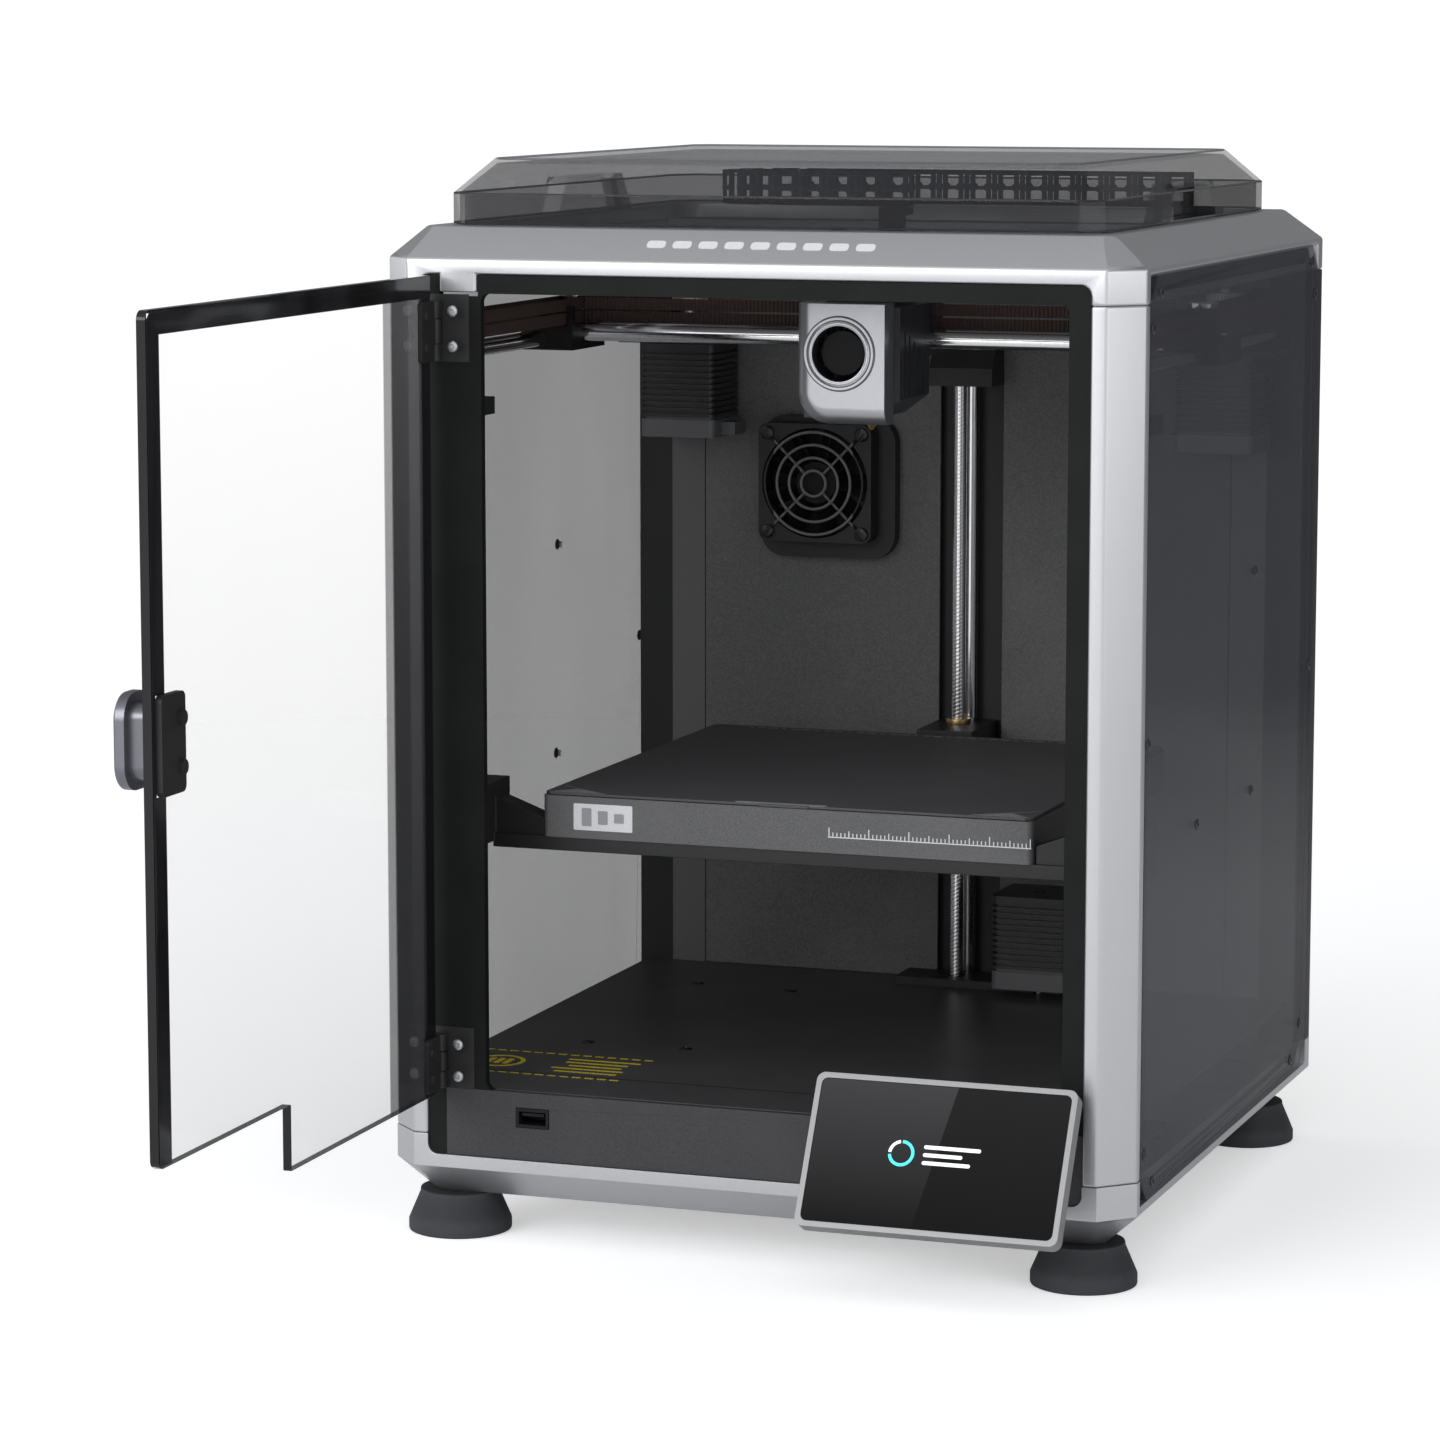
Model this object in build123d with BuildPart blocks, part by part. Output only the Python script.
from build123d import *
import os
from math import cos, radians, sin, tan

os.makedirs("parts", exist_ok=True)

# An enclosed desktop fused-filament printer, in millimetres.
# X runs across the front, Y runs to the back, Z is up and the feet stand on Z = 0.
# The origin is on the floor, midway between the four feet. The front door stands open.

# ---------------------------------------------------------------- driving dimensions
HALF_W = 177.5          # half the width of the housing
HALF_D = 177.0          # half the depth of the housing
FOOT_H = 20.0           # height of a rubber foot
BASE_TOP = 49.7         # joint between the base frame and the pillars
HEAD_Z = 436.3          # joint between the pillars and the top frame
TOP_Z = 466.0           # upper rim of the top frame
LID_Z = 496.0           # top of the lid
FRONT_CHAMFER = 14.5    # vertical corners at the front
REAR_CHAMFER = 3.0      # vertical corners at the back
TOP_SLOPE = (16.66, 14.45)   # inset and height of the sloping top rim
BASE_SLOPE = (16.0, 14.5)    # inset and height of the sloping foot rim

DOORWAY_X = 156.0       # half the width of the opening in the front frame
DOORWAY_Z = (40.4, 445.1)
WINDOW_X = (-127.4, 146.1)   # clear window inside the black surround
WINDOW_Z = (72.0, 436.4)
SURROUND_Y = -175.5     # front face of the black surround
FLOOR_Z = 72.0          # top of the chamber floor
WALL_Y = 151.0          # front face of the inner back wall

PANEL_T = 3.0           # side and back panels
PANEL_Z = (38.0, 449.0)
PANEL_Y = (-158.0, 165.0)

FOOT_XY = (150.5, 151.9)
FOOT_BOLT_R = 2.75

DOOR_PIVOT = (-148.5, -179.2)
DOOR_OPEN = 89.5        # degrees the door stands open
DOOR_W = 294.0
DOOR_Z = (70.0, 444.6)
DOOR_NOTCH = (165.0, 99.0)   # the glass is shorter beyond this width, to clear the screen
GLASS_T = 4.0

BED_W = 236.0
BED_Y = -9.5            # middle of the bed
BED_TOP = 204.0
SKIRT_BOTTOM = 183.0

REAR_SCREW = (1.5, 140.0)
REAR_ROD = (4.2, 150.6)
SIDE_SCREW = (157.0, -117.0)
SIDE_ROD = (157.0, -134.0)
SCREW_R = 3.4
ROD_R = 4.0
ROD_TOP = 377.0

TOOL_X = 3.0
GANTRY_Z = 408.6        # height of the two rods that carry the tool head
X_ROD_END = 151.0
X_ROD_Y = (-2.0, 16.0)
BELT_Y = 7.0
BELT_Z = (415.8, 422.3) # middle heights of the lower and upper belt
BELT_H = 5.6
IDLER = (157.0, 13.2)   # belt idler on each end of the gantry
Y_ROD_X = 163.0
Y_ROD_Z = 406.3
MOTOR = (139.2, 130.0)  # XY motor shaft, one on each side
FAN = (-72.5, 326.0)    # centre of the chamber fan in X and Z
CHAIN_Z = (470.0, 486.0)

SCREEN_X = 97.5
SCREEN_TOP = (-188.0, 95.4)
SCREEN_W, SCREEN_H, SCREEN_T = 120.0, 70.8, 8.5
SCREEN_TILT = 29.0


# ---------------------------------------------------------------- helpers
def save(builder, name):
    """Label a finished piece and write it as a STEP file."""
    builder.part.label = name
    export_step(builder.part, f"parts/{name}.step")
    print(f"{name:22s} {len(builder.part.solids()):3d} solids {builder.part.volume / 1000:9.2f} cm3")


def block(x, y, z, mode=Mode.ADD):
    """A box given by its (low, high) limits on each axis."""
    with Locations(((x[0] + x[1]) / 2, (y[0] + y[1]) / 2, (z[0] + z[1]) / 2)):
        Box(x[1] - x[0], y[1] - y[0], z[1] - z[0], mode=mode)


def post(x, y, z, r, mode=Mode.ADD):
    """An upright cylinder at x, y between the two heights in z."""
    with Locations((x, y, (z[0] + z[1]) / 2)):
        Cylinder(r, z[1] - z[0], mode=mode)


def bar_x(x, y, z, r, mode=Mode.ADD):
    """A cylinder along X between the two positions in x."""
    with Locations(((x[0] + x[1]) / 2, y, z)):
        Cylinder(r, x[1] - x[0], rotation=(0, 90, 0), mode=mode)


def bar_y(x, y, z, r, mode=Mode.ADD):
    """A cylinder along Y between the two positions in y."""
    with Locations((x, (y[0] + y[1]) / 2, z)):
        Cylinder(r, y[1] - y[0], rotation=(90, 0, 0), mode=mode)


def facing_front(y):
    """A sketch plane at y seen from the front: sketch x is X and sketch y is Z."""
    return Plane(origin=(0, y, 0), x_dir=(1, 0, 0), z_dir=(0, -1, 0))


def facing_right(x):
    """A sketch plane at x seen from the right: sketch x is Y and sketch y is Z."""
    return Plane(origin=(x, 0, 0), x_dir=(0, 1, 0), z_dir=(1, 0, 0))


def outline(inset):
    """Corner points of the housing's plan, moved inwards by inset."""
    w, d = HALF_W - inset, HALF_D - inset
    f = FRONT_CHAMFER - inset * (2 - 2 ** 0.5)
    r = max(REAR_CHAMFER - inset * (2 - 2 ** 0.5), 0.5)
    return [(-w + f, -d), (w - f, -d), (w, -d + f), (w, d - r),
            (w - r, d), (-w + r, d), (-w, d - r), (-w, -d + f)]


def cut_doorway():
    """Cut the rounded doorway out of whichever frame piece is being built."""
    with BuildSketch(facing_front(-160)) as doorway:
        with Locations((0, sum(DOORWAY_Z) / 2)):
            RectangleRounded(2 * DOORWAY_X, DOORWAY_Z[1] - DOORWAY_Z[0], 5)
    extrude(doorway.sketch, amount=20, mode=Mode.SUBTRACT)


def cut_panel_seats():
    """Cut the shallow seats that the side and back panels lie in."""
    for side in (-1, 1):
        x = sorted((side * (HALF_W - PANEL_T), side * (HALF_W + 1)))
        block(x, PANEL_Y, PANEL_Z, Mode.SUBTRACT)
    block((-PANEL_Y[1], PANEL_Y[1]), (HALF_D - PANEL_T, HALF_D + 1), PANEL_Z, Mode.SUBTRACT)


def octagon(w, h, c):
    """Corner points of a w by h rectangle whose corners are cut by c."""
    return [(-w + c, -h), (w - c, -h), (w, -h + c), (w, h - c),
            (w - c, h), (-w + c, h), (-w, h - c), (-w, -h + c)]


# ---------------------------------------------------------------- housing frame
with BuildPart() as base_frame:
    with BuildSketch(Plane.XY.offset(FOOT_H)):
        Polygon(*outline(BASE_SLOPE[0]), align=None)
    with BuildSketch(Plane.XY.offset(FOOT_H + BASE_SLOPE[1])):
        Polygon(*outline(0), align=None)
    loft()
    with BuildSketch(Plane.XY.offset(FOOT_H + BASE_SLOPE[1])):
        Polygon(*outline(0), align=None)
    extrude(amount=BASE_TOP - FOOT_H - BASE_SLOPE[1])
    block((-157, 157), (-157, 157), (24, 36), Mode.SUBTRACT)
    block((-168, 168), (-168, 168), (36, 60), Mode.SUBTRACT)
    for x in (-FOOT_XY[0], FOOT_XY[0]):
        for y in (-FOOT_XY[1], FOOT_XY[1]):
            post(x, y, (18, 30), FOOT_BOLT_R, Mode.SUBTRACT)
    with GridLocations(36, 12, 5, 8):
        with Locations((0, 0, 22)):
            Box(28, 4, 8, mode=Mode.SUBTRACT)
    cut_doorway()
    cut_panel_seats()
save(base_frame, "base_frame")

with BuildPart() as top_frame:
    slope_z = TOP_Z - TOP_SLOPE[1]
    with BuildSketch(Plane.XY.offset(HEAD_Z)):
        Polygon(*outline(0), align=None)
    extrude(amount=slope_z - HEAD_Z)
    with BuildSketch(Plane.XY.offset(slope_z)):
        Polygon(*outline(0), align=None)
    with BuildSketch(Plane.XY.offset(TOP_Z)):
        Polygon(*outline(TOP_SLOPE[0]), align=None)
    loft()
    block((-168, 168), (-168, 168), (430, slope_z), Mode.SUBTRACT)
    block((-163, 163), (-163, 163), (slope_z, 458), Mode.SUBTRACT)
    with BuildSketch(Plane.XY.offset(457)):
        RectangleRounded(298, 298, 12)
    extrude(amount=12, mode=Mode.SUBTRACT)
    cut_doorway()
    cut_panel_seats()
    block((-147, -129), (-HALF_D, -168), (437, DOORWAY_Z[1]))
save(top_frame, "top_frame")

with BuildPart() as front_pillars:
    for side in (-1, 1):
        corner = [(DOORWAY_X, -HALF_D), (HALF_W - FRONT_CHAMFER, -HALF_D),
                  (HALF_W, -HALF_D + FRONT_CHAMFER), (HALF_W, PANEL_Y[0]),
                  (HALF_W - PANEL_T, PANEL_Y[0]), (HALF_W - PANEL_T, -148),
                  (HALF_W - 7, -148), (HALF_W - 7, -163), (168, -168), (DOORWAY_X, -168)]
        with BuildSketch(Plane.XY.offset(BASE_TOP)):
            Polygon(*[(side * x, y) for x, y in corner], align=None)
        extrude(amount=HEAD_Z - BASE_TOP)
save(front_pillars, "front_pillars")

with BuildPart() as rear_posts:
    for side in (-1, 1):
        corner = [(138.5, WALL_Y), (174.5, WALL_Y), (174.5, PANEL_Y[1]), (HALF_W, PANEL_Y[1]),
                  (HALF_W, HALF_D - REAR_CHAMFER), (HALF_W - REAR_CHAMFER, HALF_D),
                  (PANEL_Y[1], HALF_D), (PANEL_Y[1], 171), (171, 171), (171, 154), (138.5, 154)]
        with BuildSketch(Plane.XY.offset(BASE_TOP)):
            Polygon(*[(side * x, y) for x, y in corner], align=None)
        extrude(amount=HEAD_Z - BASE_TOP)
save(rear_posts, "rear_posts")

with BuildPart() as rubber_feet:
    for x in (-FOOT_XY[0], FOOT_XY[0]):
        for y in (-FOOT_XY[1], FOOT_XY[1]):
            post(x, y, (0, 5), 24)
            with Locations((x, y, 11.5)):
                Cone(24, 18.5, 13)
            post(x, y, (18, FOOT_H), 18.5)
            post(x, y, (-1, FOOT_H + 1), FOOT_BOLT_R, Mode.SUBTRACT)
save(rubber_feet, "rubber_feet")

# ---------------------------------------------------------------- panels
PANEL_MID = (PANEL_Z[0] + PANEL_Z[1]) / 2
SIDE_SCREWS = [(-140, 441), (152, 441), (-153, 426), (158, 425), (43, 300), (-153, 244), (158, 241),
               (-64, 195), (40, 195.5), (132, 46), (-151, 60), (-137, 45), (151, 61)]
BACK_SCREWS = [(x, z) for x in (-155, 0, 155) for z in (60, 243, 425)]

for name, side in (("side_panel_left", -1), ("side_panel_right", 1)):
    with BuildPart() as side_panel:
        with BuildSketch(facing_right(side * HALF_W - (PANEL_T if side > 0 else 0))):
            with Locations(((PANEL_Y[0] + PANEL_Y[1]) / 2, PANEL_MID)):
                half_y = (PANEL_Y[1] - PANEL_Y[0]) / 2
                Polygon(*octagon(half_y, (PANEL_Z[1] - PANEL_Z[0]) / 2, 12), align=None)
            with Locations(*SIDE_SCREWS):
                Circle(1.6, mode=Mode.SUBTRACT)
        extrude(amount=PANEL_T)
    save(side_panel, name)

with BuildPart() as back_panel:
    with BuildSketch(facing_front(HALF_D)):
        with Locations((0, PANEL_MID)):
            Polygon(*octagon(PANEL_Y[1], (PANEL_Z[1] - PANEL_Z[0]) / 2, 12), align=None)
        with Locations(*BACK_SCREWS):
            Circle(1.6, mode=Mode.SUBTRACT)
        with Locations((FAN[0], FAN[1])):
            with PolarLocations(14, 8):
                SlotCenterToCenter(12, 4.5, mode=Mode.SUBTRACT)
            with PolarLocations(24, 12):
                Circle(2.6, mode=Mode.SUBTRACT)
        with Locations((90, 100)):
            with GridLocations(9, 0.01, 10, 1):
                SlotCenterToCenter(34, 4.2, rotation=90, mode=Mode.SUBTRACT)
        with Locations((-96.4, 66)):
            Rectangle(55, 20.2, mode=Mode.SUBTRACT)
        with Locations((110, 405)):
            Circle(4.2, mode=Mode.SUBTRACT)
    extrude(amount=PANEL_T)
save(back_panel, "back_panel")

with BuildPart() as rear_wall:
    with BuildSketch(facing_front(WALL_Y + 2)):
        with Locations((0, (FLOOR_Z + HEAD_Z) / 2)):
            Rectangle(276.6, HEAD_Z - FLOOR_Z)
        with Locations(FAN):
            Circle(26.5, mode=Mode.SUBTRACT)
        with Locations((4.5, (FLOOR_Z + 386) / 2 - 1)):
            Rectangle(33, 386 - FLOOR_Z + 2, mode=Mode.SUBTRACT)
    extrude(amount=2)
save(rear_wall, "rear_wall")

with BuildPart() as floor_panel:
    block((-170.4, 170.4), (-162.9, 150.9), (FLOOR_Z - 2.5, FLOOR_Z))
    block((-155.9, 155.9), (-171, -162.9), (FLOOR_Z - 2.5, FLOOR_Z))
    with Locations((*REAR_SCREW, FLOOR_Z)):
        Cylinder(SCREW_R + 1.5, 10, mode=Mode.SUBTRACT)
    with Locations((*REAR_ROD, FLOOR_Z)):
        Cylinder(ROD_R, 10, mode=Mode.SUBTRACT)
    for side in (-1, 1):
        post(side * SIDE_SCREW[0], SIDE_SCREW[1], (60, 80), SCREW_R + 1.5, Mode.SUBTRACT)
        post(side * SIDE_ROD[0], SIDE_ROD[1], (60, 80), ROD_R, Mode.SUBTRACT)
    post(48, 131, (60, 80), 4.5, Mode.SUBTRACT)
save(floor_panel, "floor_panel")

with BuildPart() as lower_front_panel:
    block((-147, 155.9), (SURROUND_Y, SURROUND_Y + 3), (40.6, FLOOR_Z - 0.1))
    fillet(lower_front_panel.edges().filter_by(Axis.Y).group_by(Axis.Z)[0].sort_by(Axis.X)[-1], radius=5)
    with BuildSketch(facing_front(SURROUND_Y + 5)):
        with Locations((-104.6, 60.2)):
            RectangleRounded(16.4, 9.4, 0.3)
    extrude(amount=10, mode=Mode.SUBTRACT)
save(lower_front_panel, "lower_front_panel")

with BuildPart() as door_surround:
    with BuildSketch(facing_front(SURROUND_Y + 4.3)):
        with Locations((0, sum(DOORWAY_Z) / 2)):
            RectangleRounded(2 * DOORWAY_X - 0.2, DOORWAY_Z[1] - DOORWAY_Z[0] - 0.4, 5)
        with Locations((sum(WINDOW_X) / 2, sum(WINDOW_Z) / 2)):
            RectangleRounded(WINDOW_X[1] - WINDOW_X[0], WINDOW_Z[1] - WINDOW_Z[0], 4, mode=Mode.SUBTRACT)
        with Locations((4.6, 56)):
            Rectangle(303.2, 32.2, mode=Mode.SUBTRACT)
        with Locations((-138, 450)):
            Rectangle(18.4, 30, mode=Mode.SUBTRACT)
    extrude(amount=4.3)
save(door_surround, "door_surround")

with BuildPart() as usb_port:
    block((-112.6, -96.6), (SURROUND_Y - 0.4, SURROUND_Y + 16), (55.7, 64.7))
    block((-111.2, -98), (SURROUND_Y - 1, SURROUND_Y + 12), (57.2, 63.2), Mode.SUBTRACT)
    block((-110, -99.2), (SURROUND_Y + 1, SURROUND_Y + 12.5), (61, 62.4))
save(usb_port, "usb_port")

# ---------------------------------------------------------------- touch screen
SCREEN = Plane(
    origin=(SCREEN_X, SCREEN_TOP[0], SCREEN_TOP[1]),
    x_dir=(1, 0, 0),
    z_dir=(0, -cos(radians(SCREEN_TILT)), sin(radians(SCREEN_TILT))),
)

with BuildPart(SCREEN) as screen_case:
    with BuildSketch(SCREEN):
        with Locations((0, -SCREEN_H / 2)):
            RectangleRounded(SCREEN_W, SCREEN_H, 4)
    extrude(amount=-SCREEN_T)
    with BuildSketch(SCREEN):
        with Locations((0, -SCREEN_H / 2)):
            RectangleRounded(SCREEN_W - 5, SCREEN_H - 5, 3)
    extrude(amount=-4, mode=Mode.SUBTRACT)
save(screen_case, "screen_case")

with BuildPart(SCREEN) as screen_glass:
    with BuildSketch(SCREEN.offset(-0.3)):
        with Locations((0, -SCREEN_H / 2)):
            RectangleRounded(SCREEN_W - 5.4, SCREEN_H - 5.4, 2.8)
    extrude(amount=-3.4)
save(screen_glass, "screen_glass")

with BuildPart() as screen_bracket:
    # a wedge between the lower front panel and the back of the tilted screen
    back_y = SCREEN_TOP[0] + SCREEN_T / cos(radians(SCREEN_TILT))
    slope = tan(radians(SCREEN_TILT))

    def behind(z):
        """Y of the screen's back face at height z."""
        return back_y - (SCREEN_TOP[1] - z) * slope

    with BuildSketch(facing_right(58)):
        Polygon((SURROUND_Y, 70), (SURROUND_Y, 44), (behind(46), 46), (behind(70), 70), align=None)
    extrude(amount=84)
save(screen_bracket, "screen_bracket")

# ---------------------------------------------------------------- electronics below the floor
with BuildPart() as power_supply:
    block((-140, -25), (-60, 40), (24.2, 45))
    with Locations((-82.5, -10, 45)):
        with GridLocations(10, 10, 8, 6):
            Cylinder(2.6, 3, mode=Mode.SUBTRACT)
    block((-138, -27), (-70, -60), (24.2, 34))
save(power_supply, "power_supply")

with BuildPart() as mainboard:
    block((10, 140), (-60, 40), (30, 31.6))
    for x, y, w, d, h in ((40, -30, 26, 26, 5), (80, -20, 16, 16, 12), (105, -20, 16, 16, 12),
                          (75, 25, 100, 9, 9), (40, 5, 14, 14, 8), (120, -48, 26, 8, 10)):
        block((x - w / 2, x + w / 2), (y - d / 2, y + d / 2), (31.6, 31.6 + h))
    for x in (16, 134):
        for y in (-54, 34):
            post(x, y, (24, 30), 3)
save(mainboard, "mainboard")

ROCKER = (HALF_D - 3.0, 66.0)
PIN_R = 1.2
with BuildPart() as power_inlet:
    block((-123.8, -96.2), (HALF_D - PANEL_T - 20, HALF_D), (56, 76))
    block((-127, -93), (HALF_D, HALF_D + 1.5), (54.5, 77.5))
    block((-121.5, -98.5), (HALF_D - 14, HALF_D + 5), (58.5, 73.5), Mode.SUBTRACT)
    for x, z in ((-117, 64), (-110, 68), (-103, 64)):
        block((x - 1, x + 1), (HALF_D - 14.5, HALF_D - 3), (z - 2, z + 2))
    # the rocker switch shares the inlet's moulding
    block((-96.2, -69), (HALF_D - 16, HALF_D), (56, 76))
    block((-93, -67), (HALF_D, HALF_D + 1.5), (54.5, 77.5))
    block((-81.2, -70.8), (HALF_D - 12, HALF_D + 5), (57.4, 74.6), Mode.SUBTRACT)
    bar_x((-82.4, -69.6), *ROCKER, PIN_R + 0.3, Mode.SUBTRACT)
save(power_inlet, "power_inlet")

with BuildPart() as rocker_switch:
    with BuildSketch(facing_right(-80.8)):
        Polygon((ROCKER[0] - 3, ROCKER[1] - 5), (ROCKER[0] + 3.2, ROCKER[1] - 7.6),
                (ROCKER[0] + 4.0, ROCKER[1]), (ROCKER[0] + 6.0, ROCKER[1] + 7.0),
                (ROCKER[0] - 0.5, ROCKER[1] + 7.2), (ROCKER[0] - 3, ROCKER[1] + 5), align=None)
    extrude(amount=9.6)
    # trunnion pins in the walls of its well
    bar_x((-82, -70), *ROCKER, PIN_R)
save(rocker_switch, "rocker_switch")

with BuildPart() as filament_inlet:
    post_y = (HALF_D - 6, HALF_D + 9)
    bar_y(110, post_y, 405, 4)
    with Locations((110, HALF_D + 3, 405)):
        Box(16, 6, 16)
    bar_y(110, (HALF_D - 7, HALF_D + 12), 405, 1.1, Mode.SUBTRACT)
save(filament_inlet, "filament_inlet")

# ---------------------------------------------------------------- lid
LID_BASE = 153.7
LID_BAND = 14.1
LID_INSET = 15.9
LID_SKIN = 2.5


def lid_plan(inset, corner=10.0):
    """Plan of the lid, moved inwards by inset."""
    half = LID_BASE - inset
    return octagon(half, half, corner)


with BuildPart() as lid:
    z0, z1, z2 = TOP_Z + 0.3, TOP_Z + LID_BAND, LID_Z
    with BuildSketch(Plane.XY.offset(z0)):
        Polygon(*lid_plan(0), align=None)
    extrude(amount=z1 - z0)
    with BuildSketch(Plane.XY.offset(z1)):
        Polygon(*lid_plan(0), align=None)
    with BuildSketch(Plane.XY.offset(z2)):
        Polygon(*lid_plan(LID_INSET, 7), align=None)
    loft()
    with BuildSketch(Plane.XY.offset(z0)):
        Polygon(*lid_plan(LID_SKIN, 9), align=None)
    extrude(amount=z1 - z0, mode=Mode.SUBTRACT)
    with BuildSketch(Plane.XY.offset(z1)):
        Polygon(*lid_plan(LID_SKIN, 9), align=None)
    with BuildSketch(Plane.XY.offset(z2 - LID_SKIN)):
        Polygon(*lid_plan(LID_INSET + 0.6, 6.5), align=None)
    loft(mode=Mode.SUBTRACT)
    for side in (-1, 1):
        # a finger recess in each side wall, closed to the inside
        outer = [(-50, 466), (50, 466), (36, 484), (-36, 484)]
        inner = [(-47, 460), (47, 460), (34, 481.5), (-34, 481.5)]
        with BuildSketch(facing_right(side * 143 - (0 if side > 0 else 10.7))):
            Polygon(*[(y + 8, max(z, z0)) for y, z in outer], align=None)
        extrude(amount=10.7)
        with BuildSketch(facing_right(side * 145.5 - (0 if side > 0 else 14))):
            Polygon(*[(y + 8, z) for y, z in inner], align=None)
        extrude(amount=14, mode=Mode.SUBTRACT)
save(lid, "lid")

# ---------------------------------------------------------------- door
TURN = radians(-DOOR_OPEN)
DOOR_ALONG = (cos(TURN), sin(TURN), 0)
DOOR_INWARD = (-sin(TURN), cos(TURN), 0)


def on_door(y):
    """A sketch plane parallel to the door glass: sketch x runs from the pivot, sketch y is Z."""
    origin = (DOOR_PIVOT[0] + y * DOOR_INWARD[0], DOOR_PIVOT[1] + y * DOOR_INWARD[1], 0)
    return Plane(origin=origin, x_dir=DOOR_ALONG, z_dir=(-DOOR_INWARD[0], -DOOR_INWARD[1], 0))


GLASS_IN = -0.5          # inner face of the glass, measured from the pivot
HINGES = ((406.0, 433.0), (72.5, 97.5))
KNUCKLE_R = 3.0
HANDLE_Z = 271.0
LATCH_X = (269.0, 291.0)
LATCH_H = 41.0

with BuildPart() as door_glass:
    with BuildSketch(on_door(GLASS_IN)):
        Polygon((4, DOOR_Z[0]), (DOOR_NOTCH[0], DOOR_Z[0]), (DOOR_NOTCH[0], DOOR_NOTCH[1]),
                (DOOR_W, DOOR_NOTCH[1]), (DOOR_W, DOOR_Z[1]), (4, DOOR_Z[1]), align=None)
    extrude(amount=GLASS_T)
    upright_corners = door_glass.edges().filter_by(Axis(origin=(0, 0, 0), direction=DOOR_INWARD))
    fillet(upright_corners.sort_by(Axis.Y)[:2], radius=4)
save(door_glass, "door_glass")

with BuildPart() as door_border:
    # a dark printed band along the top and the free edge of the glass
    with BuildSketch(on_door(GLASS_IN + 0.3)):
        Polygon((4, DOOR_Z[1] - 10), (DOOR_W - 11.5, DOOR_Z[1] - 10), (DOOR_W - 11.5, DOOR_NOTCH[1] + 1),
                (DOOR_W - 0.5, DOOR_NOTCH[1] + 1), (DOOR_W - 0.5, DOOR_Z[1] - 4),
                (DOOR_W - 4, DOOR_Z[1] - 0.5), (4, DOOR_Z[1] - 0.5), align=None)
        with Locations((sum(LATCH_X) / 2, HANDLE_Z)):
            Rectangle(LATCH_X[1] - LATCH_X[0], LATCH_H, mode=Mode.SUBTRACT)
    extrude(amount=0.3)
save(door_border, "door_border")

with BuildPart() as door_hinge_leaves:
    for z0, z1 in HINGES:
        with BuildSketch(on_door(GLASS_IN + 2.1)) as leaf:
            with Locations((10.8, (z0 + z1) / 2)):
                RectangleRounded(14.4, z1 - z0, 2)
        extrude(leaf.sketch, amount=2.1)
        with BuildSketch(on_door(GLASS_IN + 3.0)) as heads:
            with Locations((12.5, z0 + 6.5), (12.5, z1 - 6.5)):
                Circle(2.2)
        extrude(heads.sketch, amount=0.9)
        with BuildSketch(on_door(1.6)) as web:
            with Locations((2.5, (z0 + z1) / 2)):
                Rectangle(5, z1 - z0 - 16)
        extrude(web.sketch, amount=2.05)
        post(*DOOR_PIVOT, (z0 + 8, z1 - 8), KNUCKLE_R)
        post(*DOOR_PIVOT, (z0, z1), 1.55, Mode.SUBTRACT)
save(door_hinge_leaves, "door_hinge_leaves")

with BuildPart() as hinge_blocks:
    px, py = DOOR_PIVOT
    for z0, z1 in HINGES:
        block((px - 3.4, -133), (SURROUND_Y - 0.4, SURROUND_Y), (z0 - 0.4, z1 + 3))
        for low, high in ((z0, z0 + 7.6), (z1 - 7.6, z1)):
            block((px - KNUCKLE_R, px + KNUCKLE_R), (py, SURROUND_Y - 0.3), (low, high))
            post(px, py, (low, high), KNUCKLE_R)
        post(px, py, (z0, z1), 1.5)
save(hinge_blocks, "hinge_blocks")

with BuildPart() as door_handle:
    with BuildSketch(on_door(GLASS_IN - GLASS_T)):
        with Locations((275, HANDLE_Z)):
            RectangleRounded(19, 31, 6)
    extrude(amount=11.5)
    with BuildSketch(on_door(GLASS_IN - GLASS_T - 11)):
        with Locations((275, HANDLE_Z)):
            RectangleRounded(27, 40, 11)
    extrude(amount=5)
    outward = (-DOOR_INWARD[0], -DOOR_INWARD[1], 0)
    front_rim = door_handle.faces().sort_by(Axis(origin=(0, 0, 0), direction=outward))[-1].edges()
    fillet(front_rim, radius=1.2)
save(door_handle, "door_handle")

with BuildPart() as door_latch:
    with BuildSketch(on_door(GLASS_IN + 3)):
        with Locations((sum(LATCH_X) / 2, HANDLE_Z)):
            RectangleRounded(LATCH_X[1] - LATCH_X[0], LATCH_H, 3)
    extrude(amount=3)
    for dz in (-10, 10):
        with BuildSketch(on_door(GLASS_IN + 5)) as head:
            with Locations((274, HANDLE_Z + dz)):
                Circle(3.1)
        extrude(head.sketch, amount=2.5)
save(door_latch, "door_latch")

# ---------------------------------------------------------------- rods, brackets and motors
FRONT_BRACKET_Y = (-162.8, -130.0)
REAR_BRACKET_Y = (110.0, 150.9)

with BuildPart() as guide_rods:
    for side in (-1, 1):
        bar_y(side * Y_ROD_X, (FRONT_BRACKET_Y[0], REAR_BRACKET_Y[1]), Y_ROD_Z, ROD_R)
        post(side * SIDE_ROD[0], SIDE_ROD[1], (60, ROD_TOP), ROD_R)
    post(*REAR_ROD, (60, ROD_TOP), ROD_R)
save(guide_rods, "guide_rods")

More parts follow.
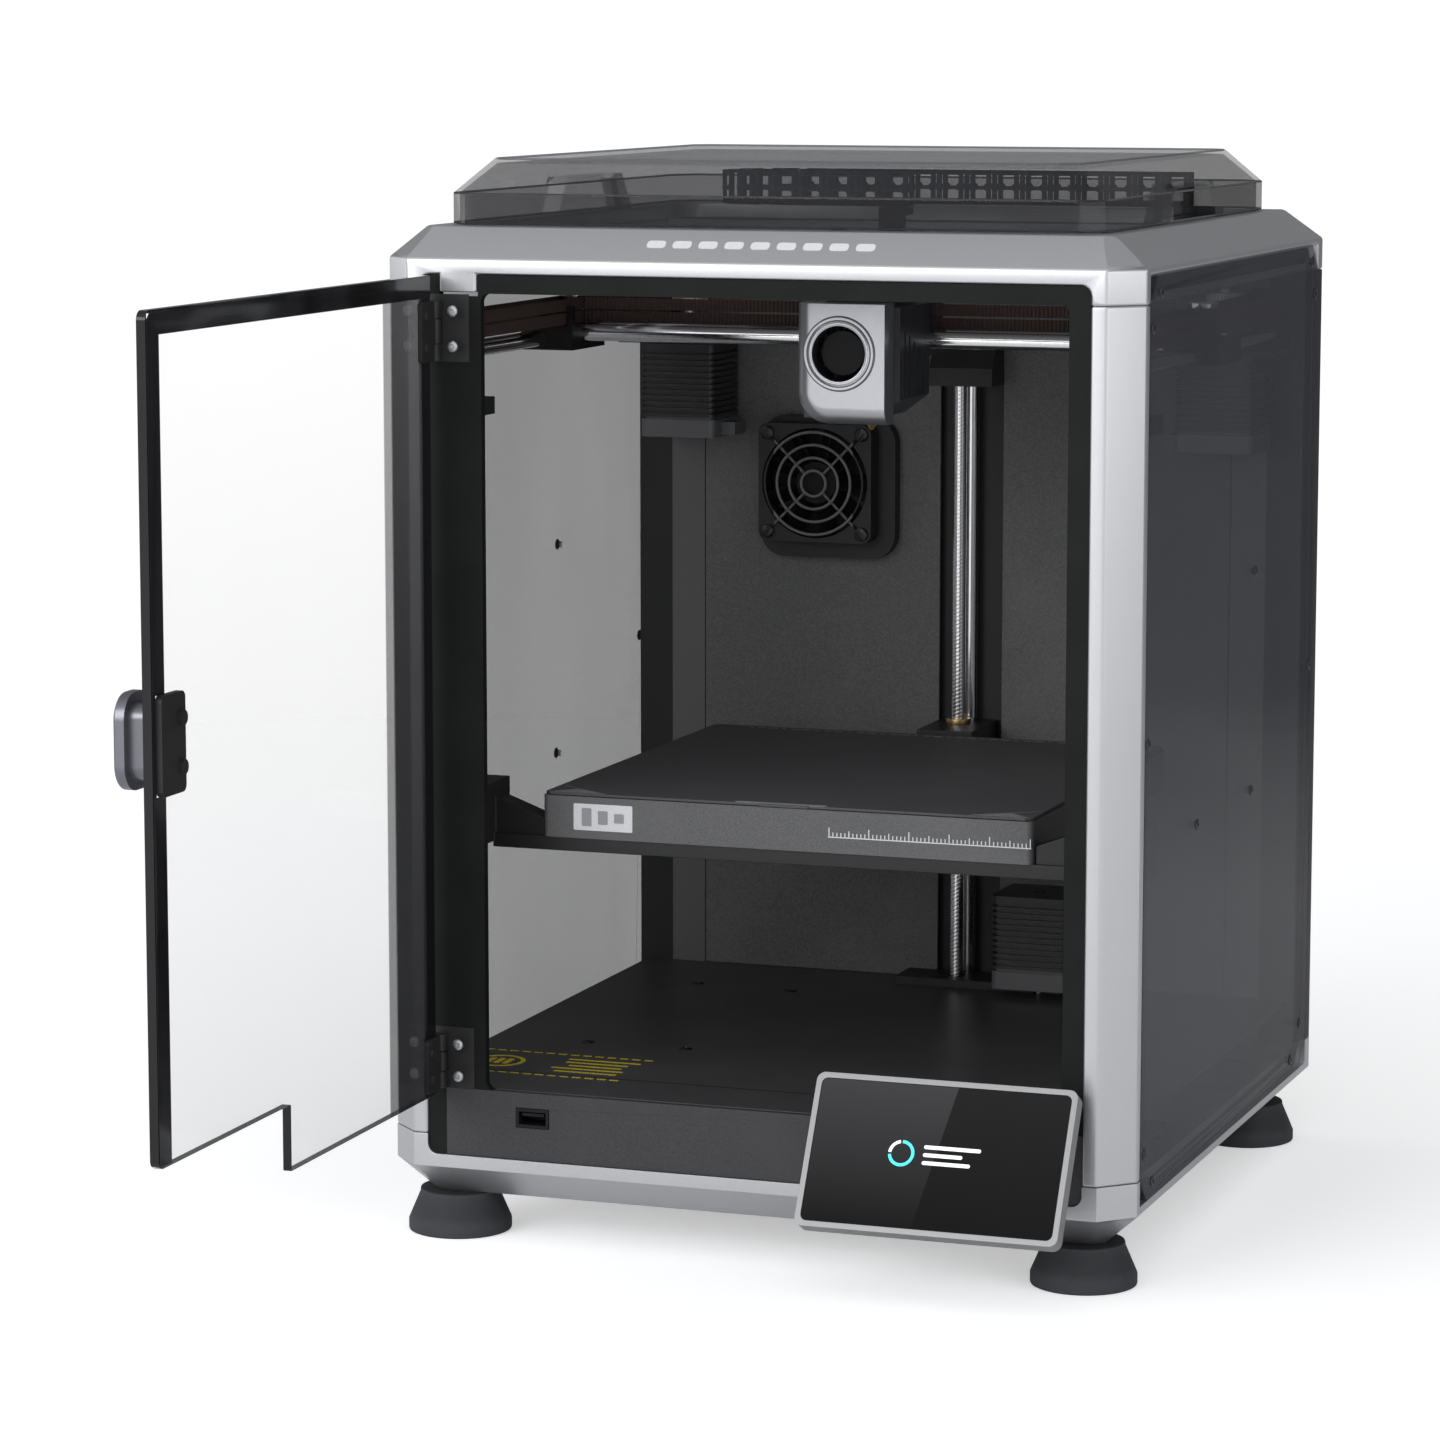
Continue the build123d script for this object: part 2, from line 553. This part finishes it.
with BuildPart() as rod_brackets:
    for side in (-1, 1):
        inner, outer = 149, 170.3
        x = sorted((side * inner, side * outer))
        # front corner: holds the rod end and a belt idler
        block(x, FRONT_BRACKET_Y, (399, 412.4))
        post(side * IDLER[0], -150, (412.4, 426.4), 5.9)
        post(side * IDLER[0], -150, (426.0, 427.6), 8)
        # rear corner: motor plate, rod end block and idler
        block(sorted((side * 117, side * outer)), REAR_BRACKET_Y, (396.5, 399.5))
        block(sorted((side * 152, side * outer)), (136, REAR_BRACKET_Y[1]), (399.5, 412.4))
        post(side * IDLER[0], 142, (412.4, 426.4), 5.9)
        post(side * IDLER[0], 142, (426.0, 427.6), 8)
        post(side * MOTOR[0], MOTOR[1], (390, 405), 4, Mode.SUBTRACT)
        bar_y(side * Y_ROD_X, (-200, 200), Y_ROD_Z, ROD_R, Mode.SUBTRACT)
        # top and bottom of the side Z column
        block(x, (-144, -107), (ROD_TOP, 385))
        post(side * SIDE_SCREW[0], SIDE_SCREW[1], (36, 44), 8.5)
        post(side * SIDE_SCREW[0], SIDE_SCREW[1], (38, 50), SCREW_R + 0.08, Mode.SUBTRACT)
    # rear Z column: channel, top bracket, foot flange and lower bearing
    block((-14, 23), (157.5, 159), (FLOOR_Z, 386))
    block((-12, 21), (130, 157.5), (ROD_TOP, 386))
    with BuildSketch(facing_right(-12)):
        Polygon((130, 386), (150.9, 386), (150.9, 402), (142, 402), align=None)
    extrude(amount=33)
    block((-27, 60), (127, 150.9), (FLOOR_Z, FLOOR_Z + 4))
    post(*REAR_SCREW, (60, 80), SCREW_R + 1.0, Mode.SUBTRACT)
    post(*REAR_ROD, (60, 100), ROD_R, Mode.SUBTRACT)
    post(48, 131, (60, 80), 4.5, Mode.SUBTRACT)
    post(*REAR_SCREW, (24, 44), 9)
    post(*REAR_SCREW, (38, 50), SCREW_R + 0.08, Mode.SUBTRACT)
    # anchor of the cable chain on the top frame
    block((128, 149), (71, 85), (459, 469.8))
save(rod_brackets, "rod_brackets")

with BuildPart() as stepper_motors:
    bodies = [(-MOTOR[0], MOTOR[1], 349.0), (MOTOR[0], MOTOR[1], 349.0), (48.0, 131.0, 76.0)]
    for x, y, z in bodies:
        with BuildSketch(Plane.XY.offset(z)) as body:
            with Locations((x, y)):
                RectangleRounded(40, 38.5, 3)
        extrude(body.sketch, amount=47.3)
        ribs = 12
        for k in range(ribs):
            groove = z + 9 + 3.0 * k
            with BuildSketch(Plane.XY.offset(groove)) as ring:
                with Locations((x, y)):
                    RectangleRounded(44, 42.5, 3)
                    RectangleRounded(36.6, 35.1, 2, mode=Mode.SUBTRACT)
            extrude(ring.sketch, amount=1.3, mode=Mode.SUBTRACT)
        post(x, y, (z - 1, z + 48), 3.4, Mode.SUBTRACT)
    for side in (-1, 1):
        plug = sorted((side * (MOTOR[0] - 20), side * (MOTOR[0] - 27)))
        block(plug, (MOTOR[1] - 8, MOTOR[1] + 8), (350, 356.5))
save(stepper_motors, "stepper_motors")


def toothed_pulley(x, y, z, r, teeth):
    """A flanged belt pulley between the two heights in z."""
    post(x, y, z, r)
    with Locations((x, y, (z[0] + z[1]) / 2)):
        with PolarLocations(r, teeth):
            Cylinder(0.6, z[1] - z[0], mode=Mode.SUBTRACT)
    for height in z:
        post(x, y, (height - 0.5, height + 0.5), r + 0.9)


for name, side in (("motor_pulley_left", -1), ("motor_pulley_right", 1)):
    with BuildPart() as motor_pulley:
        post(side * MOTOR[0], MOTOR[1], (352, 428), 2.5)
        toothed_pulley(side * MOTOR[0], MOTOR[1], (413, 425.6), 9.0, 30)
    save(motor_pulley, name)

SIDE_LOOP = (-150.0, 142.0)
with BuildPart() as side_belts:
    for side in (-1, 1):
        for z in BELT_Z:
            with BuildSketch(Plane.XY.offset(z - BELT_H / 2)) as loop:
                with Locations((side * IDLER[0], sum(SIDE_LOOP) / 2)):
                    length = SIDE_LOOP[1] - SIDE_LOOP[0]
                    SlotCenterToCenter(length, 15.4, rotation=90)
                    SlotCenterToCenter(length, 12.6, rotation=90, mode=Mode.SUBTRACT)
            extrude(loop.sketch, amount=BELT_H)
save(side_belts, "side_belts")

# ---------------------------------------------------------------- gantry
with BuildPart() as gantry_ends:
    for side in (-1, 1):
        x = sorted((side * 146, side * 172.6))
        block(x, (-16, 27), (400.6, 412.2))
        block(x, (-16, -12), (412.2, 422))
        for belt_x in (IDLER[0] - 7.0, IDLER[0] + 7.0):
            block(sorted((side * (belt_x - 1.3), side * (belt_x + 1.3))), (-20, -8), (412.2, 423),
                  Mode.SUBTRACT)
        bar_y(side * Y_ROD_X, (-40, 40), Y_ROD_Z, ROD_R + 0.05, Mode.SUBTRACT)
        for y in X_ROD_Y:
            bar_x(sorted((side * 140, side * X_ROD_END)), y, GANTRY_Z, ROD_R, Mode.SUBTRACT)
save(gantry_ends, "gantry_ends")

with BuildPart() as x_rods:
    for y in X_ROD_Y:
        bar_x((-X_ROD_END, X_ROD_END), y, GANTRY_Z, ROD_R)
save(x_rods, "x_rods")

with BuildPart() as gantry_idlers:
    for side in (-1, 1):
        post(side * IDLER[0], IDLER[1], (412.2, 426.0), 5.6)
        post(side * IDLER[0], IDLER[1], (425.6, 427.8), 8)
save(gantry_idlers, "gantry_idlers")

with BuildPart() as x_belts:
    for z in BELT_Z:
        block((-148.6, 148.6), (BELT_Y - 0.7, BELT_Y + 0.7), (z - BELT_H / 2, z + BELT_H / 2))
save(x_belts, "x_belts")

# ---------------------------------------------------------------- tool head
TOOL_HALF = 22.0
FAN_Z = 405.0
NOZZLE = (3.5, -10.0)
NOZZLE_TIP = 366.0
GEAR = (8.0, -21.0, 440.0)
LEVER = (-11.0, 458.0)

with BuildPart() as tool_cover:
    with BuildSketch(facing_front(-44)):
        with Locations((TOOL_X, 400)):
            Polygon((-TOOL_HALF, 28), (TOOL_HALF, 28), (TOOL_HALF, -28), (-TOOL_HALF, -28), align=None)
    extrude(amount=14)
    lower_corners = tool_cover.edges().filter_by(Axis.Y).sort_by(Axis.Z)[:2]
    fillet(lower_corners.sort_by(Axis.X)[0], radius=15)
    front_bottom = tool_cover.faces().filter_by(Axis.Y).sort_by(Axis.Y)[0].edges().sort_by(Axis.Z)[0]
    fillet(front_bottom, radius=8)
    with BuildSketch(facing_front(-43)):
        with Locations((TOOL_X, 402.5)):
            RectangleRounded(39, 48, 6)
    extrude(amount=12.6, mode=Mode.SUBTRACT)
    with BuildSketch(facing_front(-57)):
        with Locations((TOOL_X, FAN_Z)):
            Circle(17.6)
    extrude(amount=2)
    with BuildSketch(facing_front(-40)):
        with Locations((TOOL_X, FAN_Z)):
            Circle(14.9)
    extrude(amount=22, mode=Mode.SUBTRACT)
    chamfer(tool_cover.edges().filter_by(GeomType.CIRCLE).sort_by(Axis.Y)[0:2], length=0.8)
save(tool_cover, "tool_cover")

with BuildPart() as tool_housing:
    block((-19, 28), (-43.7, 2), (374, 401))
    block((-19, 28), (-43.7, 24), (401, 426))
    low_right = tool_housing.edges().filter_by(Axis.Y).group_by(Axis.Z)[0].sort_by(Axis.X)[-1]
    chamfer(low_right, length=9, length2=12)
    for k in range(5):
        block((27, 30), (-37 + 7 * k, -34.5 + 7 * k), (384, 415 - 3 * k), Mode.SUBTRACT)
    # round fan frame that shows through the front cover
    bar_y(TOOL_X, (-55, -43.7), FAN_Z, 14.7)
    bar_y(TOOL_X, (-60, -44.5), FAN_Z, 13.6, Mode.SUBTRACT)
    # extruder block on top, with a recess for the drive gear
    block((-12, 22), (-32, -3), (426, 452))
    block((-1, 17), (GEAR[1] - 4, GEAR[1] + 4), (431, 453), Mode.SUBTRACT)
    bar_y(GEAR[0], (-30, -10), GEAR[2], 1.55, Mode.SUBTRACT)
    for y in (-28, -10):
        block((-13, -9), (y - 1.2, y + 1.2), (452, 460))
    bar_y(LEVER[0], (-28, -10), LEVER[1], 1.2)
    post(16, -10, (452, 464), 3.5)
    # hot end pocket, rod bores and belt slot
    block((-6, 13), (-20, 3), (370, 397), Mode.SUBTRACT)
    for y in X_ROD_Y:
        bar_x((-30, 40), y, GANTRY_Z, ROD_R + 0.05, Mode.SUBTRACT)
    block((-30, 40), (5.2, 8.8), (411.8, 430), Mode.SUBTRACT)
    # arm that leads the cable chain
    block((-3, 9), (19, 24), (426, 470))
    block((-3, 9), (19, 36), (466, 469.7))
save(tool_housing, "tool_housing")

with BuildPart() as hotend:
    block((-4, 11), (-18, -2), (372, 382))
    post(*NOZZLE, (382, 397), 3.2)
    for k in range(4):
        post(*NOZZLE, (385 + 3 * k, 386.4 + 3 * k), 6.5)
save(hotend, "hotend")

with BuildPart() as nozzle:
    with BuildSketch(Plane.XY.offset(369.4)):
        with Locations(NOZZLE):
            RegularPolygon(3.6, 6)
    extrude(amount=2.6)
    with Locations((*NOZZLE, (NOZZLE_TIP + 369.4) / 2)):
        Cone(0.6, 2.8, 369.4 - NOZZLE_TIP)
save(nozzle, "nozzle")

with BuildPart() as drive_gear:
    bar_y(GEAR[0], (GEAR[1] - 3, GEAR[1] + 3), GEAR[2], 7.2)
    with Locations((GEAR[0], GEAR[1], GEAR[2])):
        with Locations(Location((0, 0, 0), (90, 0, 0))):
            with PolarLocations(7.2, 24):
                Cylinder(0.55, 7, mode=Mode.SUBTRACT)
    bar_y(GEAR[0], (GEAR[1] - 7, GEAR[1] + 7), GEAR[2], 1.5)
save(drive_gear, "drive_gear")

with BuildPart() as extruder_lever:
    bar_y(LEVER[0], (-26.5, -11.5), LEVER[1], 2.8)
    block((LEVER[0], 10), (-26.5, -13.9), (455.6, 459.6))
    block((10, 24), (-24, -16), (456.4, 459.6))
    bar_y(LEVER[0], (-30, -8), LEVER[1], 1.25, Mode.SUBTRACT)
save(extruder_lever, "extruder_lever")

with BuildPart() as tool_fan_rotor:
    bar_y(TOOL_X, (-52.5, -45), FAN_Z, 10.3)
    blades = 11
    for k in range(blades):
        turn = Location((TOOL_X, -48.5, FAN_Z)) * Location((0, 0, 0), (0, 360 / blades * k, 0))
        with Locations(turn * Location((11.5, 0, 0)) * Location((0, 0, 0), (38, 0, 0))):
            Box(3.4, 6.0, 0.9)
save(tool_fan_rotor, "tool_fan_rotor")

# ---------------------------------------------------------------- bed
SLIDER_Z = (179.0, 207.0)
with BuildPart() as bed_carrier:
    block((-143.5, 143.5), (-126, -108), (176.5, SKIRT_BOTTOM))
    block((-11, 18), (-108, 112), (176.5, SKIRT_BOTTOM))
    block((-100, 100), (70, 88), (176.5, SKIRT_BOTTOM))
    block((-11, 18), (110, 156.6), (176.5, 206))
    for side in (-1, 1):
        x = sorted((side * 143, side * 170.2))
        block(x, (-146, -106), SLIDER_Z)
        with BuildSketch(facing_front(-112)) as gusset:
            Polygon(*[(side * u, v) for u, v in ((118.5, 183), (143, 183), (143, 200), (118.5, 191))],
                    align=None)
        extrude(gusset.sketch, amount=12)
        post(side * SIDE_SCREW[0], SIDE_SCREW[1], (170, 210), 5.5, Mode.SUBTRACT)
        post(side * SIDE_ROD[0], SIDE_ROD[1], (170, 210), ROD_R + 0.05, Mode.SUBTRACT)
    post(*REAR_SCREW, (170, 210), 5.5, Mode.SUBTRACT)
    post(*REAR_ROD, (170, 210), ROD_R + 0.05, Mode.SUBTRACT)
save(bed_carrier, "bed_carrier")

with BuildPart() as lead_nuts:
    for x, y, top in ((REAR_SCREW[0], REAR_SCREW[1], 206.0),
                      (-SIDE_SCREW[0], SIDE_SCREW[1], SLIDER_Z[1]), (SIDE_SCREW[0], SIDE_SCREW[1], SLIDER_Z[1])):
        post(x, y, (top - 16, top), 5.5)
        post(x, y, (top, top + 2.4), 6.4)
        post(x, y, (top - 20, top + 5), SCREW_R + 0.08, Mode.SUBTRACT)
save(lead_nuts, "lead_nuts")

with BuildPart() as heated_bed:
    with BuildSketch(Plane.XY.offset(SKIRT_BOTTOM)):
        with Locations((0, BED_Y)):
            RectangleRounded(BED_W, BED_W, 3)
    extrude(amount=BED_TOP - 1.5 - SKIRT_BOTTOM)
    with BuildSketch(Plane.XY.offset(SKIRT_BOTTOM)):
        with Locations((0, BED_Y)):
            RectangleRounded(BED_W - 5, BED_W - 5, 2)
    extrude(amount=14.5, mode=Mode.SUBTRACT)
save(heated_bed, "heated_bed")

with BuildPart() as build_plate:
    with BuildSketch(Plane.XY.offset(BED_TOP - 1.2)):
        with Locations((0, BED_Y)):
            half = BED_W / 2 - 0.6
            Polygon(*octagon(half, half, 3), align=None)
        with Locations((0, BED_Y - BED_W / 2 + 0.6)):
            Trapezoid(26, 2.4, 60, rotation=180)
    extrude(amount=1.2)
save(build_plate, "build_plate")

for name, x, y in (("z_screw_rear", REAR_SCREW[0], REAR_SCREW[1]),
                   ("z_screw_left", -SIDE_SCREW[0], SIDE_SCREW[1]),
                   ("z_screw_right", SIDE_SCREW[0], SIDE_SCREW[1])):
    with BuildPart() as z_screw:
        post(x, y, (38.3, ROD_TOP - 0.4), SCREW_R)
        toothed_pulley(x, y, (47, 55.5), 9.0, 30)
    save(z_screw, name)

with BuildPart() as z_motor_pulley:
    post(48, 131, (44, 122), 2.5)
    toothed_pulley(48, 131, (47, 55.5), 9.0, 30)
save(z_motor_pulley, "z_motor_pulley")

with BuildPart() as z_belt:
    corners = [REAR_SCREW, (48, 131), (SIDE_SCREW[0], SIDE_SCREW[1]), (-SIDE_SCREW[0], SIDE_SCREW[1])]
    with BuildSketch(Plane.XY.offset(48.2)) as band:
        Polygon(*corners, align=None)
        offset(amount=10.7, mode=Mode.REPLACE)
    extrude(band.sketch, amount=6)
    with BuildSketch(Plane.XY.offset(48.2)) as inside:
        Polygon(*corners, align=None)
        offset(amount=9.3, mode=Mode.REPLACE)
    extrude(inside.sketch, amount=6, mode=Mode.SUBTRACT)
save(z_belt, "z_belt")

# ---------------------------------------------------------------- chamber fan
FAN_FRONT = 131.0
with BuildPart() as chamber_fan_housing:
    with BuildSketch(facing_front(WALL_Y)):
        with Locations((FAN[0] + 3, FAN[1] - 3)):
            RectangleRounded(72, 72, 13)
    extrude(amount=8)
    with BuildSketch(facing_front(WALL_Y - 8)):
        with Locations(FAN):
            RectangleRounded(60, 60, 5)
    extrude(amount=WALL_Y - 8 - FAN_FRONT)
    bar_y(FAN[0], (FAN_FRONT - 1, WALL_Y + 1), FAN[1], 28, Mode.SUBTRACT)
    bar_y(FAN[0], (144.5, WALL_Y), FAN[1], 10)
    for k in range(3):
        turn = Location((FAN[0], 148.5, FAN[1])) * Location((0, 0, 0), (0, 120 * k + 30, 0))
        with Locations(turn * Location((19, 0, 0))):
            Box(20, 4, 3)
save(chamber_fan_housing, "chamber_fan_housing")

with BuildPart() as chamber_fan_rotor:
    bar_y(FAN[0], (133.5, 144.2), FAN[1], 10.5)
    blades = 9
    for k in range(blades):
        turn = Location((FAN[0], 138.8, FAN[1])) * Location((0, 0, 0), (0, 360 / blades * k, 0))
        with Locations(turn * Location((18.4, 0, 0)) * Location((0, 0, 0), (36, 0, 0))):
            Box(17.6, 11.0, 1.1)
save(chamber_fan_rotor, "chamber_fan_rotor")

with BuildPart() as fan_guard:
    guard_y = FAN_FRONT - 1.0
    wire = 0.75
    with Locations((FAN[0], guard_y - 0.7, FAN[1])):
        for ring in (6.5, 13, 19.5, 26):
            Torus(ring, wire, rotation=(90, 0, 0))
    for k in range(4):
        turn = Location((FAN[0], guard_y, FAN[1])) * Location((0, 0, 0), (0, 45 + 90 * k, 0))
        with Locations(turn * Location((21.0, 0, 0))):
            Cylinder(wire, 29, rotation=(0, 90, 0))
        with Locations(turn * Location((35.5, 0, 0))):
            Cylinder(3.4, 2.0, rotation=(90, 0, 0))
save(fan_guard, "fan_guard")

# ---------------------------------------------------------------- cable chain
CHAIN_Y = (30.0, 78.0)
CHAIN_BEND_X = -62.0
CHAIN_PITCH = 14.0


def chain_places():
    """Centre and heading of every link: out from the tool head, round the bend and back."""
    radius = (CHAIN_Y[1] - CHAIN_Y[0]) / 2
    middle = sum(CHAIN_Y) / 2
    places = [(TOOL_X - CHAIN_PITCH * k, CHAIN_Y[0], 180) for k in range(5)]
    for k in range(5):
        turn = -90 - 18 - 36 * k
        places.append((CHAIN_BEND_X + radius * cos(radians(turn)),
                       middle + radius * sin(radians(turn)), turn - 90))
    places += [(CHAIN_BEND_X + 8 + CHAIN_PITCH * k, CHAIN_Y[1], 0) for k in range(14)]
    return places


with BuildPart() as cable_chain:
    for x, y, heading in chain_places():
        middle_z = sum(CHAIN_Z) / 2
        with Locations(Location((x, y, middle_z), (0, 0, heading))):
            Box(12.6, 12, CHAIN_Z[1] - CHAIN_Z[0])
            Box(8.0, 20, 7.0, mode=Mode.SUBTRACT)
save(cable_chain, "cable_chain")

# ---------------------------------------------------------------- screws
FLOOR_SCREWS = [(-122, -60.5), (-72.5, -59.5), (-122, 94), (-71, 91)]
HEAD_R, HEAD_T, SHANK_R = 2.7, 0.7, 1.5
with BuildPart() as frame_screws:
    for side in (-1, 1):
        for y, z in SIDE_SCREWS:
            bar_x(sorted((side * HALF_W, side * (HALF_W + HEAD_T))), y, z, HEAD_R)
            bar_x(sorted((side * (HALF_W - PANEL_T), side * HALF_W)), y, z, SHANK_R)
    for x, z in BACK_SCREWS:
        bar_y(x, (HALF_D, HALF_D + HEAD_T), z, HEAD_R)
        bar_y(x, (HALF_D - PANEL_T, HALF_D), z, SHANK_R)
    for x, y in FLOOR_SCREWS:
        post(x, y, (FLOOR_Z, FLOOR_Z + HEAD_T), HEAD_R + 0.6)
save(frame_screws, "frame_screws")
